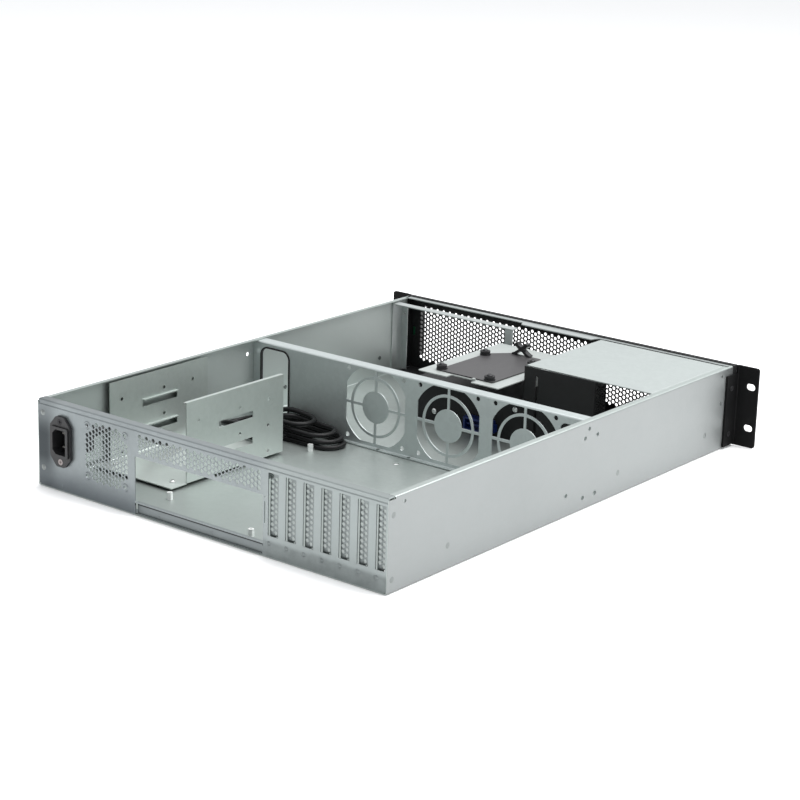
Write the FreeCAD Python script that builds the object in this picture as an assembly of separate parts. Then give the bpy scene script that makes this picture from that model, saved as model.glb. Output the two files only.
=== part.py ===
import FreeCAD, Part
import os, math
from FreeCAD import Vector as V

# Empty 2U rackmount server case, open on top, built as its separate pieces.
# Frame: +X to the right seen from the front, +Y to the rear, +Z up, floor at Z=0,
# origin under the middle of the overall box. Millimetres.

# ---------------------------------------------------------------- dimensions
BODY_W = 430.0          # width of the sheet metal body
BODY_H = 87.0           # height of a 2U body
BODY_D = 580.5          # rear panel's outer face to the ears' front face
EAR_SPAN = 482.6        # 19 inch panel width over the ears
EAR_HOLE_X = 232.55     # rack slots' centres, half of 465.1
EAR_PITCH_Z = 44.45     # one rack unit between the slots
T = 1.0                 # galvanised sheet
R_IN = 0.8              # inner bend radius
POD_DEPTH = 11.0        # control pod in front of the panel
BTN_PROUD = 1.0         # power button in front of the pod
REAR_PROUD = 5.0        # mains inlet behind the rear panel
FLANGE_W = 7.0          # inward top flanges of the side walls
FAN_PITCH = 71.5        # 80 mm fan hole spacing
FAN_X = (46.8, -45.9, -138.6)
FAN_Z = 45.2
FAN_WALL_Y = -306.0     # rear face of the fan wall, from the rear panel
SLOT_PITCH = 20.32
SLOT_X0 = -79.75        # first expansion slot's inner edge
SLOT_W = 12.1
SLOT_Z = (20.6, 79.5)
VENT_C = (122.2, 49.0)  # 60 mm vent
VENT_PITCH = 50.0
IO_X = (-73.9, 84.85)   # 158.75 wide aperture
IO_Z = (12.9, 57.35)    # 44.45 high aperture
INLET_C = (181.3, 50.5)
HEX_P = 5.0             # rear perforation pitch
HEX_R = 2.4             # corner radius of a rear hexagonal hole
MESH_P = 5.1            # front perforation pitch
MESH_R = 2.15

Y_FRONT = -BODY_D - POD_DEPTH - BTN_PROUD
YR = -(Y_FRONT + REAR_PROUD) / 2.0      # rear panel's outer face in the part's frame


def Y(y):
    return y + YR


# ---------------------------------------------------------------- helpers
os.makedirs("parts", exist_ok=True)
PARTS = {}


def put(name, shape, more=None):
    if more:
        shape = Part.makeCompound([shape] + list(more))
    sol = shape.Solids
    assert sol, name
    for s in sol:
        assert s.isValid() and s.isClosed() and s.Volume > 0.01, (name, s.isValid(), s.Volume)
    out = sol[0] if len(sol) == 1 else Part.makeCompound(sol)
    PARTS[name] = out
    out.exportStep("parts/%s.step" % name)
    bb = out.BoundBox
    print("%-20s solids %2d faces %5d vol %9.1f  X %7.1f %7.1f  Y %7.1f %7.1f  Z %5.1f %5.1f" % (
        name, len(sol), len(out.Faces), out.Volume, bb.XMin, bb.XMax, bb.YMin - YR, bb.YMax - YR, bb.ZMin, bb.ZMax))


def box(x0, x1, y0, y1, z0, z1):
    x0, x1 = sorted((x0, x1)); y0, y1 = sorted((Y(y0), Y(y1))); z0, z1 = sorted((z0, z1))
    return Part.makeBox(x1 - x0, y1 - y0, z1 - z0, V(x0, y0, z0))


def cyl(p, d, r, h):
    """Cylinder from point p (body coordinates) along d."""
    return Part.makeCylinder(r, h, V(p[0], Y(p[1]), p[2]), V(*d))


def cone(p, d, r0, r1, h):
    return Part.makeCone(r0, r1, h, V(p[0], Y(p[1]), p[2]), V(*d))


def poly_wire(pts):
    return Part.makePolygon(pts + [pts[0]])


def rounded(pts, radii):
    """Closed 2-D outline with rounded corners: a list of ('L', a, b) and ('A', a, m, b)."""
    n = len(pts)
    if not hasattr(radii, "__len__"):
        radii = [radii] * n
    segs, ends = [], []
    for i in range(n):
        p0, p, p1 = pts[i - 1], pts[i], pts[(i + 1) % n]
        r = radii[i]
        a = (p0[0] - p[0], p0[1] - p[1]); b = (p1[0] - p[0], p1[1] - p[1])
        la, lb = math.hypot(*a), math.hypot(*b)
        a = (a[0] / la, a[1] / la); b = (b[0] / lb, b[1] / lb)
        ang = math.acos(max(-1, min(1, a[0] * b[0] + a[1] * b[1])))
        if r <= 0 or ang > math.pi - 1e-6:
            ends.append((p, None, p)); continue
        d = r / math.tan(ang / 2)
        q0 = (p[0] + a[0] * d, p[1] + a[1] * d); q1 = (p[0] + b[0] * d, p[1] + b[1] * d)
        m = (a[0] + b[0], a[1] + b[1]); lm = math.hypot(*m); m = (m[0] / lm, m[1] / lm)
        c = r / math.sin(ang / 2)
        ctr = (p[0] + m[0] * c, p[1] + m[1] * c)
        mid = (ctr[0] - m[0] * r, ctr[1] - m[1] * r)
        ends.append((q0, mid, q1))
    for i in range(n):
        q0, mid, q1 = ends[i]
        if mid is not None:
            segs.append(("A", q0, mid, q1))
        nxt = ends[(i + 1) % n][0]
        if math.hypot(nxt[0] - q1[0], nxt[1] - q1[1]) > 1e-6:
            segs.append(("L", q1, nxt))
    return segs


def wire_on(segs, to3):
    ed = []
    for s in segs:
        if s[0] == "L":
            ed.append(Part.LineSegment(to3(s[1]), to3(s[2])).toShape())
        else:
            ed.append(Part.Arc(to3(s[1]), to3(s[2]), to3(s[3])).toShape())
    return Part.Wire(ed)


def xz(y):
    return lambda p: V(p[0], Y(y), p[1])


def yz(x):
    return lambda p: V(x, Y(p[0]), p[1])


def xy(z):
    return lambda p: V(p[0], Y(p[1]), z)


def prism(segs, to3, vec):
    return Part.Face(wire_on(segs, to3)).extrude(V(*vec))


def rect(x0, x1, z0, z1, r=0.0):
    return rounded([(x0, z0), (x1, z0), (x1, z1), (x0, z1)], r)


def circle_wire(c, r, to3, axis):
    return Part.Wire([Part.Circle(to3(c), V(*axis), r).toShape()])


def hexa(c, r, to3, a0=0.0):
    return poly_wire([to3((c[0] + r * math.cos(a0 + k * math.pi / 3), c[1] + r * math.sin(a0 + k * math.pi / 3))) for k in range(6)])


def turned(w, n):
    """The closed outline w, running clockwise seen against n."""
    p = [v.Point for v in w.OrderedVertexes]
    if len(p) < 3:
        p = w.discretize(8)[:-1]
    a = V(0, 0, 0)
    for i in range(len(p)):
        a = a + p[i].cross(p[(i + 1) % len(p)])
    return a.dot(n)


def sheet(outer, inner, vec):
    """Flat plate with holes: one face with its inner outlines, then its thickness."""
    f0 = Part.Face(outer)
    n = f0.normalAt(0, 0)
    so = turned(outer, n)
    ws = []
    for w in inner:
        if turned(w, n) * so > 0:
            w = w.copy()
            w.reverse()
        ws.append(w)
    return Part.Face([outer] + ws).extrude(V(*vec))


def sheet_bands(x0, x1, z0, z1, y, inner, cuts, t):
    """Upright plate with many holes, laid out band by band between the X values in cuts."""
    xs = [x0] + sorted(cuts) + [x1]
    out = []
    for a, b in zip(xs[:-1], xs[1:]):
        ws = [w for w in inner if a < (w.BoundBox.XMin + w.BoundBox.XMax) / 2 < b]
        for w in ws:
            assert w.BoundBox.XMin > a and w.BoundBox.XMax < b, (a, b, w.BoundBox)
        out.append(sheet(wire_on(rect(a, b, z0, z1), xz(y)), ws, (0, -t, 0)))
    return out


def strip(pts, t, side, r_in=R_IN):
    """Section of a folded sheet. pts is one face's polyline, side +1 puts the thickness on its left."""
    n = len(pts)
    nor = []
    for i in range(n - 1):
        dx, dy = pts[i + 1][0] - pts[i][0], pts[i + 1][1] - pts[i][1]
        l = math.hypot(dx, dy)
        nor.append((-dy / l * side, dx / l * side))
    off = []
    for i in range(n):
        if i == 0:
            k = nor[0]; off.append((pts[0][0] + k[0] * t, pts[0][1] + k[1] * t))
        elif i == n - 1:
            k = nor[-1]; off.append((pts[-1][0] + k[0] * t, pts[-1][1] + k[1] * t))
        else:
            a, b = nor[i - 1], nor[i]
            d = 1 + a[0] * b[0] + a[1] * b[1]
            off.append((pts[i][0] + (a[0] + b[0]) / d * t, pts[i][1] + (a[1] + b[1]) / d * t))
    rp, rq = [0.0] * n, [0.0] * n
    for i in range(1, n - 1):
        d0 = (pts[i][0] - pts[i - 1][0], pts[i][1] - pts[i - 1][1])
        d1 = (pts[i + 1][0] - pts[i][0], pts[i + 1][1] - pts[i][1])
        turn = (d0[0] * d1[1] - d0[1] * d1[0]) * side
        if turn > 0:
            rp[i], rq[i] = r_in + t, r_in
        else:
            rp[i], rq[i] = r_in, r_in + t
    loop = pts + off[::-1]
    return rounded(loop, rp + rq[::-1])


def fuse(shapes, tidy=True):
    s = shapes[0].multiFuse(shapes[1:]) if len(shapes) > 1 else shapes[0]
    return s.removeSplitter() if tidy else s


def cut(s, tools):
    return s.cut(Part.makeCompound(tools)) if tools else s


def pan_screw(p, d, r=1.5, head=3.0, hh=1.7, length=5.0):
    """Pan head screw: p under its head, d pointing out of the head, shank the other way, cross recess."""
    D = V(*d)
    P = V(p[0], Y(p[1]), p[2])
    h = Part.makeCylinder(head, hh * 0.55, P, D).fuse(Part.makeCone(head, head * 0.72, hh * 0.45, P + D * (hh * 0.55), D))
    s = h.fuse(Part.makeCylinder(r, length, P, D * -1))
    up = V(0, 0, 1) if abs(D.z) < 0.5 else V(1, 0, 0)
    side = D.cross(up)
    for u in (up, side):
        w = D.cross(u)
        b = Part.makeBox(head * 1.1, head * 0.24, hh * 0.6)
        m = FreeCAD.Matrix(u.x, w.x, D.x, 0, u.y, w.y, D.y, 0, u.z, w.z, D.z, 0, 0, 0, 0, 1)
        b.translate(V(-head * 0.55, -head * 0.12, 0))
        b = b.transformGeometry(m)
        b.translate(P + D * (hh * 0.5))
        s = s.cut(b)
    return s.removeSplitter()


def lathe(segs, p, d):
    """Turned piece: an outline of (radius, height) segments round the axis through p along d."""
    f = Part.Face(wire_on(segs, lambda q: V(q[0], 0, q[1])))
    r = f.revolve(V(0, 0, 0), V(0, 0, 1), 360)
    r.Placement = FreeCAD.Placement(V(p[0], Y(p[1]), p[2]), FreeCAD.Rotation(V(0, 0, 1), V(*d)))
    return r


def rivet(p, d, head=3.0, proud=0.6, r=1.55, grip=2.2, tail=2.2):
    """Solid rivet: p on the outer face, d outwards; low dome, shank and a flat tail inside."""
    rad = (head * head + proud * proud) / (2 * proud)
    a = math.asin(head / rad) / 2
    mid = (rad * math.sin(a), proud - rad + rad * math.cos(a))
    seg = [("A", (0, proud), mid, (head, 0)), ("L", (head, 0), (r, 0)), ("L", (r, 0), (r, -grip)), ("L", (r, -grip), (tail, -grip)),
           ("L", (tail, -grip), (tail, -grip - 0.7)), ("L", (tail, -grip - 0.7), (0, -grip - 0.7)), ("L", (0, -grip - 0.7), (0, proud))]
    return lathe(seg, p, d)


def mirror_x(s):
    return s.mirror(V(0, 0, 0), V(1, 0, 0))


HB = BODY_W / 2.0

# ---------------------------------------------------------------- base tray
# one folded sheet: floor, two side walls and their inward top flanges
sec = strip([(-HB + FLANGE_W, BODY_H), (-HB, BODY_H), (-HB, 0), (HB, 0), (HB, BODY_H), (HB - FLANGE_W, BODY_H)], T, +1)
FRONT_IN = -570.0
tray = prism(sec, xz(0), (0, FRONT_IN - 8.0, 0))
side_holes = [(-21.5, 79.9, 1.7), (-302.9, 79.8, 2.0), (-296.6, 71.5, 2.2), (-317.5, 71.1, 2.2), (-268.2, 21.2, 2.2),
              (-297.0, 12.2, 2.2), (-317.6, 12.3, 2.2), (-548.5, 80.1, 1.4)]
rivet_yz = [(-6.7, 70.8), (-6.4, 12.6), (-84.5, 22.3), (-357.5, 22.7), (-520.7, 22.8)]
ear_screw_yz = [(-567.0, 64.0), (-567.0, 14.5)]
tools = []
for y, z, r in side_holes:
    tools.append(cyl((-HB - 2, y, z), (1, 0, 0), r, 5))
    if (y, z) != (-302.9, 79.8):
        tools.append(cyl((HB - 3, y, z), (1, 0, 0), r, 5))
for y, z in rivet_yz:
    tools.append(cyl((-HB - 2, y, z), (1, 0, 0), 1.6, 5)); tools.append(cyl((HB - 3, y, z), (1, 0, 0), 1.6, 5))
for y, z in ear_screw_yz:
    tools.append(cyl((-HB - 2, y, z), (1, 0, 0), 1.7, 5)); tools.append(cyl((HB - 3, y, z), (1, 0, 0), 1.7, 5))
for sx in (-1, 1):
    tools.append(prism(rounded([(-548.7, 48.2), (-550.5, 48.2), (-550.5, 53.2), (-548.7, 53.2)], 0.85), yz(sx * HB - 2), (4, 0, 0)))
    # flange notches at the rear and front corners
    tools.append(box(sx * (HB - FLANGE_W - 1), sx * (HB + 1), -9.0, 1, BODY_H - 2.2, BODY_H + 1))
    tools.append(box(sx * (HB - FLANGE_W - 1), sx * (HB - 1.9), -562.5, -590, BODY_H - 2.2, BODY_H + 1))
    # side walls stop short of the front panel's returns
    tools.append(box(sx * (HB + 1), sx * (HB - 2.0), FRONT_IN, -590, 2.0, BODY_H + 1))
STANDOFFS = [(90.5, -51.8), (90.5, -256.27), (-33.96, -28.94), (-191.44, -28.94), (-191.44, -183.88), (-191.44, -256.27)]
for x, y in STANDOFFS:
    tools.append(cyl((x, y, -1), (0, 0, 1), 1.6, 3))
BR_SCREWS = [(117.8, -83.6), (195.2, -83.6), (117.8, -214.0), (195.2, -214.0)]
for x, y in BR_SCREWS:
    tools.append(cyl((x, y, -1), (0, 0, 1), 1.6, 3))
tools.append(cyl((0.2, -283.5, -1), (0, 0, 1), 3.2, 3))
FW_RIVETS = [(40.0, -303.3), (0.0, -303.3), (-95.0, -303.3), (-185.0, -303.3)]
for x, y in FW_RIVETS:
    tools.append(cyl((x, y, -1), (0, 0, 1), 1.6, 3))
tray = cut(tray, tools)
put("base_tray", tray)

# ---------------------------------------------------------------- rear panel
RX = HB - T - 0.1       # the panel stands between the side walls
JZ = 81.6               # joggle for the cover's lip
inner = []
pl = xz(0)


def hexes(keep, cx, cz, p, r, nx, nz):
    out = []
    dx = p * math.sqrt(3) / 2
    for i in range(-nx, nx + 1):
        for j in range(-nz, nz + 1):
            x = cx + i * dx; z = cz + j * p + (p / 2 if i % 2 else 0)
            if keep(x, z):
                out.append((x, z))
    return out


vent = hexes(lambda x, z: abs(x - VENT_C[0]) < 26.5 and abs(z - VENT_C[1]) < 29.0 and math.hypot(x - VENT_C[0], z - VENT_C[1]) < 31.0
             and min(math.hypot(x - VENT_C[0] - 25 * i, z - VENT_C[1] - 25 * j) for i in (-1, 1) for j in (-1, 1)) > 6.9,
             VENT_C[0], VENT_C[1], HEX_P, HEX_R, 12, 12)
for c in vent:
    inner.append(hexa(c, HEX_R, pl))
upper = hexes(lambda x, z: -71.5 < x < 81.5 and 61.5 < z < 77.6, 5.0, 69.7, HEX_P, HEX_R, 30, 4)
for c in upper:
    inner.append(hexa(c, HEX_R, pl))
inner.append(wire_on(rect(IO_X[0], IO_X[1], IO_Z[0], IO_Z[1], 0.6), pl))
SLOTS = []
for i in range(7):
    x1 = SLOT_X0 - SLOT_PITCH * i
    x0 = max(x1 - SLOT_W, -RX + 1.6)
    SLOTS.append((x0, x1))
    inner.append(wire_on(rect(x0, x1, SLOT_Z[0], SLOT_Z[1], 0.5), pl))
inner.append(wire_on(rect(-76.9, -75.4, 31.0, 52.0, 0.7), pl))
inner.append(circle_wire((-76.1, 56.0), 0.9, pl, (0, 1, 0)))
# mains inlet cut-out and its screw holes
inner.append(wire_on(rounded([(INLET_C[0] - 10.2, INLET_C[1] - 14.0), (INLET_C[0] + 10.2, INLET_C[1] - 14.0),
                              (INLET_C[0] + 10.2, INLET_C[1] + 14.0), (INLET_C[0] - 10.2, INLET_C[1] + 14.0)], 1.5), pl))
for s in (-1, 1):
    inner.append(circle_wire((INLET_C[0], INLET_C[1] + 20.0 * s), 1.75, pl, (0, 1, 0)))
for sx in (-1, 1):
    for sz in (-1, 1):
        inner.append(circle_wire((VENT_C[0] + sx * VENT_PITCH / 2, VENT_C[1] + sz * VENT_PITCH / 2), 2.2, pl, (0, 1, 0)))
RR = [(207.8, 74.0), (207.8, 19.0)]
for x, z in RR:
    if x > 0:
        inner.append(circle_wire((x, z), 1.6, pl, (0, 1, 0)))
flat = sheet_bands(-RX, RX, T, JZ, 0.0, inner, [-78.2, 91.0], T)
# joggle and top flange
top = prism(strip([(0, JZ), (0, JZ + 0.01), (-0.7, JZ + 0.9), (-0.7, BODY_H), (-10.0, BODY_H)][0:1] + [(-0.7, JZ + 1.0), (-0.7, BODY_H), (-10.0, BODY_H)], T, +1, 0.3),
            yz(-RX), (2 * RX, 0, 0))
join = prism(rounded([(0, JZ - 0.6), (0, JZ + 0.02), (-0.75, JZ + 1.1), (-1.7, JZ + 1.1), (-1.0, JZ - 0.6)], 0), yz(-RX), (2 * RX, 0, 0))
sides = []
for sx in (-1, 1):
    sides.append(box(sx * RX, sx * (RX - T), -0.5, -13.0, 3.0, 84.0))
foot = box(-RX + 4, RX - 4, -0.5, -9.0, T, 2 * T)
panel = fuse(flat + [join, top] + sides + [foot], False)
UP_Y = -2.6             # upturned edge of the foot behind the low window
# clear the corners of the floor's bend radius and the flange's ends
rear_tools = [box(sx * (RX + 1), sx * (RX - 1.9), 1, -20, 0, 2.2) for sx in (-1, 1)]
rear_tools += [box(sx * (RX + 1), sx * (HB - FLANGE_W - 0.4), -8.6, -20, BODY_H - 1.6, BODY_H + 1) for sx in (-1, 1)]
# low window under the aperture, in front of the upturned foot
rear_tools.append(box(IO_X[0] + 0.3, IO_X[1] - 0.3, 1, -1.15, 0.5, 11.9))
for y, z in rivet_yz[:2]:
    for sx in (-1, 1):
        rear_tools.append(cyl((sx * (RX - 2.0), y, z), (sx, 0, 0), 1.6, 3))
panel = cut(panel, rear_tools)
# embossed tongue pockets under the slots and pressed weld spots along the foot
bumps = [box(IO_X[0] + 1.2, IO_X[1] - 1.2, UP_Y, UP_Y - T, T + 0.2, 12.0), box(IO_X[0] + 0.6, IO_X[1] - 0.6, -0.5, -4.0, 11.9, 12.8)]
for x0, x1 in SLOTS:
    b = Part.makeSphere(3.2, V(x1 - 1.2, Y(-2.1), 13.4)).common(box(x1 - 8, x1 + 6, -0.3, 5, 5, 22))
    bumps.append(b)
for x in (181.4, 56.7, -10.0, -120.1, -140.4, -196.0):
    zc = 5.6 if abs(x) > 100 else 5.6
    y0 = UP_Y if IO_X[0] < x < IO_X[1] else 0.0
    bumps.append(Part.makeSphere(4.0, V(x, Y(y0 - 3.6), zc)).common(box(x - 6, x + 6, y0 - 0.3, 5, 1.5, 12)))
for sx in (-1, 1):
    for sz in (-1, 1):
        cx, cz = VENT_C[0] + sx * VENT_PITCH / 2, VENT_C[1] + sz * VENT_PITCH / 2
        ring = cone((cx, -0.2, cz), (0, 1, 0), 4.3, 3.2, 1.1).cut(cyl((cx, -1.5, cz), (0, 1, 0), 2.2, 4))
        bumps.append(ring)
panel = fuse([panel] + bumps, False)
put("rear_panel", panel)

# ---------------------------------------------------------------- expansion slot covers
COV_Y = -3.0
COVERS = []
for i, (x0, x1) in enumerate(SLOTS):
    a, b = x1 - SLOT_W + 0.35, x1 - 0.1
    a = max(a, -RX + T + 0.25)
    cx = (a + b) / 2
    holes = [hexa(c, 2.0, xz(COV_Y)) for c in hexes(lambda x, z: a + 2.1 < x < b - 2.1 and 22.5 < z < 78.0, b - 2.2, 26.0, HEX_P, 2.0, 4, 12)]
    holes += [circle_wire((cx - 2.2, 20.0), 0.9, xz(COV_Y), (0, 1, 0))]
    out = rounded([(a, 18.0), (cx - 3.2, 12.5), (cx - 3.2, 5.0), (cx + 3.2, 5.0), (cx + 3.2, 12.5), (b, 18.0), (b, 81.0), (a, 81.0)], [0.6, 1, 1, 1, 1, 0.6, 0.2, 0.2])
    plate = sheet(wire_on(out, xz(COV_Y)), holes, (0, -0.8, 0))
    tab = prism(rounded([(a, COV_Y), (b, COV_Y), (b, COV_Y - 12.5), (cx + 2.4, COV_Y - 12.5), (cx + 2.4, COV_Y - 7.6), (cx - 2.4, COV_Y - 7.6),
                         (cx - 2.4, COV_Y - 12.5), (a, COV_Y - 12.5)], [0.2, 0.2, 1, 0.4, 2.2, 2.2, 0.4, 1]), xy(81.0), (0, 0, 0.8))
    c = fuse([plate, tab])
    COVERS.append((cx, c))
    put("slot_cover_%d" % (i + 1), c)

# ledge that carries the covers' tabs, screwed from above
LZ = 81.0
lx0, lx1 = -RX + T + 0.3, -76.5
ledge = prism(strip([(COV_Y - 1.4, LZ), (COV_Y - 14.5, LZ), (COV_Y - 14.5, LZ - 9.0)], T, +1), yz(lx0), (lx1 - lx0, 0, 0))
arm0 = box(lx1 - T, lx1, -T, COV_Y - 14.0, LZ - 9.0, LZ - 2.0)
arm0 = arm0.fuse(box(lx1 - T, lx1 + 0.0, COV_Y - 2.0, COV_Y - 14.0, LZ - 2.1, LZ - 0.5))
ledge = fuse([ledge, arm0])
ledge = cut(ledge, [cyl((cx, COV_Y - 9.6, LZ - 3), (0, 0, 1), 1.6, 4) for cx, c in COVERS])
put("slot_ledge", ledge)
put("slot_screws", pan_screw((COVERS[0][0], COV_Y - 9.6, LZ + 0.8), (0, 0, 1), 1.5, 2.9, 1.6, 4.0),
    [pan_screw((cx, COV_Y - 9.6, LZ + 0.8), (0, 0, 1), 1.5, 2.9, 1.6, 4.0) for cx, c in COVERS[1:]])

# ---------------------------------------------------------------- mains inlet
ix, iz = INLET_C
fl = rounded([(ix - 13.5, iz - 15.6), (ix - 5.4, iz - 25.0), (ix + 5.4, iz - 25.0), (ix + 13.5, iz - 15.6),
              (ix + 13.5, iz + 15.6), (ix + 5.4, iz + 25.0), (ix - 5.4, iz + 25.0), (ix - 13.5, iz + 15.6)], [2, 4, 4, 2, 2, 4, 4, 2])
body = prism(fl, xz(0.0), (0, 3.2, 0))
rim = prism(rounded([(ix - 11.8, iz - 15.0), (ix + 11.8, iz - 15.0), (ix + 11.8, iz + 15.0), (ix - 11.8, iz + 15.0)], 2.2), xz(0.0), (0, REAR_PROUD, 0))
back = prism(rounded([(ix - 10.0, iz - 13.8), (ix + 10.0, iz - 13.8), (ix + 10.0, iz + 13.8), (ix - 10.0, iz + 13.8)], 1.5), xz(0.0), (0, -17.0, 0))
body = fuse([body, rim, back])
# socket: 24 mm along Z, 16 mm wide, with the two cut corners on the +X side
cav = prism(rounded([(ix - 8.6, iz - 12.4), (ix + 4.4, iz - 12.4), (ix + 8.6, iz - 8.4), (ix + 8.6, iz + 8.4), (ix + 4.4, iz + 12.4), (ix - 8.6, iz + 12.4)], 0.8),
            xz(REAR_PROUD + 1), (0, -17.0, 0))
BL = [(ix - 2.0, iz), (ix + 2.2, iz + 7.0), (ix + 2.2, iz - 7.0)]
tools = [cav]
for x, z in BL:
    tools.append(box(x - 2.0, x + 2.0, 0, -30, z - 1.0, z + 1.0))
for s in (-1, 1):
    tools.append(cyl((ix, 4, iz + 20.0 * s), (0, -1, 0), 1.75, 6))
    tools.append(cone((ix, 3.21, iz + 20.0 * s), (0, -1, 0), 3.2, 1.75, 1.5))
body = cut(body, tools)
put("inlet_body", body)
blades = []
for x, z in BL:
    b = box(x - 2.0, x + 2.0, -4.0, -22.5, z - 1.0, z + 1.0)
    b = b.fuse(box(x - 3.1, x + 3.1, -17.0, -25.0, z - 0.4, z + 0.4)).removeSplitter()
    blades.append(b)
put("inlet_blades", blades[0], blades[1:])


def csk(p, d, r=1.5, head=2.9, hh=1.4, length=6.0):
    D = V(*d); P = V(p[0], Y(p[1]), p[2])
    s = Part.makeCone(r, head, hh, P - D * hh, D).fuse(Part.makeCylinder(r, length, P, D * -1))
    up = V(0, 0, 1) if abs(D.z) < 0.5 else V(1, 0, 0)
    for u in (up, D.cross(up)):
        w = D.cross(u)
        b = Part.makeBox(head * 1.1, head * 0.24, 1.2)
        b.translate(V(-head * 0.55, -head * 0.12, -0.9))
        m = FreeCAD.Matrix(u.x, w.x, D.x, 0, u.y, w.y, D.y, 0, u.z, w.z, D.z, 0, 0, 0, 0, 1)
        b = b.transformGeometry(m); b.translate(P)
        s = s.cut(b)
    return s.removeSplitter()


put("inlet_screws", csk((ix, 3.1, iz - 20), (0, 1, 0), 1.5, 2.95, 1.4, 8), [csk((ix, 3.1, iz + 20), (0, 1, 0), 1.5, 2.95, 1.4, 8)])

# insulating boot over the inlet's terminals, with the lead's strain relief
LX, LZ0 = ix, iz                       # the lead leaves forwards on the inlet's axis
CR = 2.6                               # lead radius, 5.2 mm round lead
boot = prism(rounded([(ix - 11.4, iz - 15.2), (ix + 11.4, iz - 15.2), (ix + 11.4, iz + 15.2), (ix - 11.4, iz + 15.2)], 3), xz(-12.0), (0, -18.0, 0))
boot = boot.cut(prism(rounded([(ix - 10.0, iz - 13.8), (ix + 10.0, iz - 13.8), (ix + 10.0, iz + 13.8), (ix - 10.0, iz + 13.8)], 1.5), xz(-11.0), (0, -6.0, 0)))
boot = boot.cut(box(ix - 8, ix + 8, -16.9, -26.0, iz - 11.5, iz + 11.5))
relief = cone((LX, -29.9, LZ0), (0, -1, 0), 6.2, 3.4, 23.1)
for k in range(5):
    ring = cyl((LX, -33.0 - 3.6 * k, LZ0), (0, -1, 0), 8, 1.2).cut(cyl((LX, -32.0 - 3.6 * k, LZ0), (0, -1, 0), 4.5 - 0.3 * k, 4))
    relief = relief.cut(ring)
boot = fuse([boot, relief])
put("inlet_boot", boot)

# ---------------------------------------------------------------- fan wall
FY = FAN_WALL_Y
FX = HB - T - 0.1
FT = 2.5                # top of the fan wall's foot, lifted by its spot welds
# the foot points to the rear, the top flange to the front
wall = prism(strip([(FY + 4.5, FT), (FY, FT), (FY, 86.0), (FY - 13.0, 86.0)], T, +1), yz(-FX), (2 * FX, 0, 0))
OP, OR = 38.5, 43.0
ftools, fadds = [], []
for cx in FAN_X:
    sq = box(cx - OP, cx + OP, FY + 1, FY - T - 1, FAN_Z - OP, FAN_Z + OP)
    ci = cyl((cx, FY + 1, FAN_Z), (0, -1, 0), OR, T + 2)
    ftools.append(sq.common(ci))
    hub = cyl((cx, FY, FAN_Z), (0, -1, 0), 17.0, T)
    ring = cyl((cx, FY, FAN_Z), (0, -1, 0), 32.1, T).cut(cyl((cx, FY + 1, FAN_Z), (0, -1, 0), 29.3, T + 2))
    sp1 = box(cx - 1.4, cx + 1.4, FY, FY - T, FAN_Z - OP - 0.5, FAN_Z + OP + 0.2)
    sp2 = box(cx - OP - 0.5, cx + OP + 0.5, FY, FY - T, FAN_Z - 1.4, FAN_Z + 1.4)
    fadds += [hub, ring, sp1, sp2]
    for sx in (-1, 1):
        for sz in (-1, 1):
            ftools.append(cyl((cx + sx * FAN_PITCH / 2, FY + 1, FAN_Z + sz * FAN_PITCH / 2), (0, -1, 0), 2.45, 3))
PT = (163.9, 202.9, 9.0, 80.5)      # cable pass-through
ftools.append(prism(rect(PT[0], PT[1], PT[2], PT[3], 9.0), xz(FY + 1), (0, -3, 0)))
ftools.append(prism(rounded([(-197.0, 66.0), (-180.0, 66.0), (-180.0, 78.0), (-197.0, 78.0)], 5.9), xz(FY + 1), (0, -3, 0)))
for x, y in FW_RIVETS:
    ftools.append(cyl((x, y, 0), (0, 0, 1), 1.6, 4))
# trim the foot and flange at the ends, clear of the tray's bends
for sx in (-1, 1):
    ftools.append(box(sx * (FX + 1), sx * (FX - 2.0), FY + 8, FY - 0.0, 0, 3.0))
    ftools.append(box(sx * (FX + 1), sx * (FX - 2.0), FY + 1, FY - 3.0, 0, 2.9))
    ftools.append(box(sx * (FX + 1), sx * (HB - FLANGE_W - 0.5), FY + 1, FY - 20.0, 83.6, 87))
wall = cut(wall, ftools)
wall = fuse([wall] + fadds)
for sx in (-1, 1):
    fl = box(sx * FX, sx * (FX - T), FY, FY - 15.0, 6.0, 82.0)
    fl = cut(fl, [cyl((sx * (FX - 2), y, z), (sx, 0, 0), 1.7, 4) for y, z, r in side_holes if FY - 15 < y < FY])
    wall = wall.fuse(fl)
wall = wall.removeSplitter()
put("fan_wall", wall)
# edging strip round the pass-through, a rubber channel gripping the sheet's edge
o = prism(rect(PT[0] - 0.9, PT[1] + 0.9, PT[2] - 0.9, PT[3] + 0.9, 9.9), xz(FY + 0.8), (0, -(T + 1.6), 0))
i_ = prism(rect(PT[0] + 0.8, PT[1] - 0.8, PT[2] + 0.8, PT[3] - 0.8, 8.2), xz(FY + 5), (0, -12, 0))
g = prism(rect(PT[0] - 3, PT[1] + 3, PT[2] - 3, PT[3] + 3, 12.0), xz(FY), (0, -T, 0)).cut(prism(rect(PT[0], PT[1], PT[2], PT[3], 9.0), xz(FY + 1), (0, -3, 0)))
trim = o.cut(i_).cut(g)
put("pass_through_trim", trim.removeSplitter())

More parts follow.
